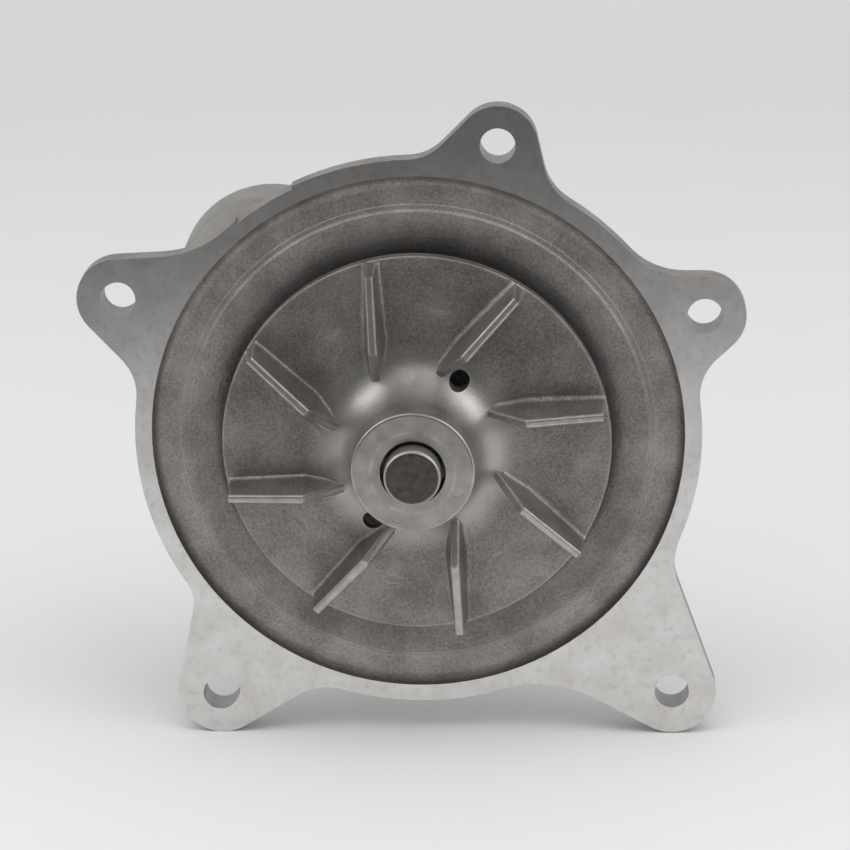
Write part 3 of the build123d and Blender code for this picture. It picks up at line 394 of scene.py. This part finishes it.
finishes = {
    "pump_housing": housing_material(),
    "impeller": impeller_material(),
    "shaft": shaft_material(),
    "pulley_hub": turned("PulleyHubSteel", (0.34, 0.34, 0.34), 0.36),
}
bearing_steel = turned("BearingSteel", (0.6, 0.6, 0.61), 0.2)
spring_steel = turned("SpringSteel", (0.4, 0.4, 0.41), 0.3)
stainless = turned("StainlessSheet", (0.58, 0.57, 0.56), 0.28)
rubber = moulded("SealRubber", (0.025, 0.025, 0.025), 0.62)
nylon = moulded("CageNylon", (0.62, 0.56, 0.42), 0.5)
carbon = moulded("SealCarbon", (0.035, 0.035, 0.038), 0.34)
ceramic = moulded("CounterRingCeramic", (0.75, 0.72, 0.66), 0.3)
for finish, names in (
    (bearing_steel, ("bearing_outer_ring", "bearing_balls", "bearing_rollers")),
    (nylon, ("ball_cage", "roller_cage")),
    (rubber, ("front_bearing_seal", "rear_bearing_seal", "water_slinger")),
    (rubber, ("seal_bellows", "seat_rubber")),
    (spring_steel, ("bearing_snap_ring", "seal_spring")),
    (stainless, ("seal_case", "seal_ferrule", "seal_sleeve")),
    (carbon, ("carbon_ring",)),
    (ceramic, ("seat_ring",)),
):
    for name in names:
        finishes[name] = finish
for name, shader in finishes.items():
    for material_slot in nodes[name].material_slots:
        material_slot.material = shader.material


# ---- floor and backdrop, one swept sheet ----
def sweep():
    """Pale floor that curves up into a backdrop behind the pump."""
    half_width, front, back, bend, top = 5.0, -5.0, 1.6, 0.7, 3.0
    profile = [(front, 0.0), (back - bend, 0.0)]
    steps = 16
    for i in range(1, steps + 1):
        angle = i / steps * math.pi / 2
        profile.append((back - bend + bend * math.sin(angle), bend - bend * math.cos(angle)))
    profile.append((back, top))
    mesh = bpy.data.meshes.new("Floor")
    points = [(x, y, FLOOR_Z + z) for y, z in profile for x in (-half_width, half_width)]
    faces = [(2 * i, 2 * i + 1, 2 * i + 3, 2 * i + 2) for i in range(len(profile) - 1)]
    mesh.from_pydata(points, [], faces)
    mesh.shade_smooth()
    floor = bpy.data.objects.new("Floor", mesh)
    bpy.context.scene.collection.objects.link(floor)
    shader = Shader("FloorPaint", (0.80, 0.80, 0.80), 0.6, 0.0)
    shader.bsdf.inputs["Specular IOR Level"].default_value = 0.0
    mottle = shader.noise(60 * MM, 3)
    shader.colour(shader.mix(mottle, (0.79, 0.79, 0.79), (0.81, 0.81, 0.81)))
    mesh.materials.append(shader.material)


sweep()


# ---- soft studio light ----
def area_light(name, place, aim, width, height, power, colour=(1, 1, 1)):
    light = bpy.data.lights.new(name, "AREA")
    light.shape = "RECTANGLE"
    light.size = width
    light.size_y = height
    light.energy = power
    light.color = colour
    lamp = bpy.data.objects.new(name, light)
    lamp.location = place
    lamp.rotation_euler = (Vector(aim) - Vector(place)).to_track_quat("-Z", "Y").to_euler()
    bpy.context.scene.collection.objects.link(lamp)
    return lamp


area_light("Overhead", (0.0, -0.45, 1.2), (0, 0, 0), 1.4, 0.8, 5.4)
area_light("LeftSoftbox", (-1.15, -0.28, 0.7), (0, 0, 0), 1.0, 1.0, 3.8)
area_light("RightSoftbox", (1.15, -0.28, 0.7), (0, 0, 0), 1.0, 1.0, 4.2)


def reflection_card(name, corners, dark, light):
    """Card that only reflections see: it lights nothing, hides nothing and casts no shadow."""
    mesh = bpy.data.meshes.new(name)
    mesh.from_pydata(corners, [], [(0, 1, 2, 3)])
    card = bpy.data.objects.new(name, mesh)
    bpy.context.scene.collection.objects.link(card)
    shader = Shader(name + "Felt", light, 0.9, 0.0)
    shader.colour(shader.mix(shader.noise(2 * MM), dark, light))
    mesh.materials.append(shader.material)
    card.visible_camera = False
    card.visible_shadow = False
    card.visible_diffuse = False


# a dark card in front, nearer on the left, darkens the upper part of the mounting face
card_left, card_right, card_top = (-1.2, -0.15), (1.2, -0.61), FLOOR_Z + 0.34
reflection_card(
    "FrontCard",
    [(*card_left, FLOOR_Z), (*card_right, FLOOR_Z), (*card_right, card_top), (*card_left, card_top)],
    (0.02, 0.02, 0.02),
    (0.04, 0.04, 0.04),
)
# a grey card overhead keeps the hub's upper side from going white
reflection_card(
    "TopCard",
    [(-0.35, -0.6, 0.8), (0.35, -0.6, 0.8), (0.35, 0.1, 0.8), (-0.35, 0.1, 0.8)],
    (0.30, 0.30, 0.30),
    (0.36, 0.36, 0.36),
)
world = bpy.data.worlds.new("Studio")
world.use_nodes = True
background = world.node_tree.nodes["Background"]
background.inputs["Color"].default_value = (1.0, 1.0, 1.0, 1)
background.inputs["Strength"].default_value = 0.67
bpy.context.scene.world = world
bpy.context.scene.view_settings.view_transform = "Standard"

# ---- camera at the photograph's angle ----
camera_data = bpy.data.cameras.new("Camera")
camera_data.lens = 148.2
camera_data.sensor_width = 36
camera_data.clip_start = 0.05
camera = bpy.data.objects.new("Camera", camera_data)
camera_right = Vector((0.99910, 0.04045, -0.01290))
camera_up = Vector((0.0, 0.30386, 0.95271))
camera_back = Vector((0.04246, -0.95186, 0.30359))
turn = Matrix((camera_right, camera_up, camera_back)).transposed().to_4x4()
camera.matrix_world = Matrix.Translation((0.04458, -0.95182, 0.30703)) @ turn
bpy.context.scene.collection.objects.link(camera)
bpy.context.scene.camera = camera
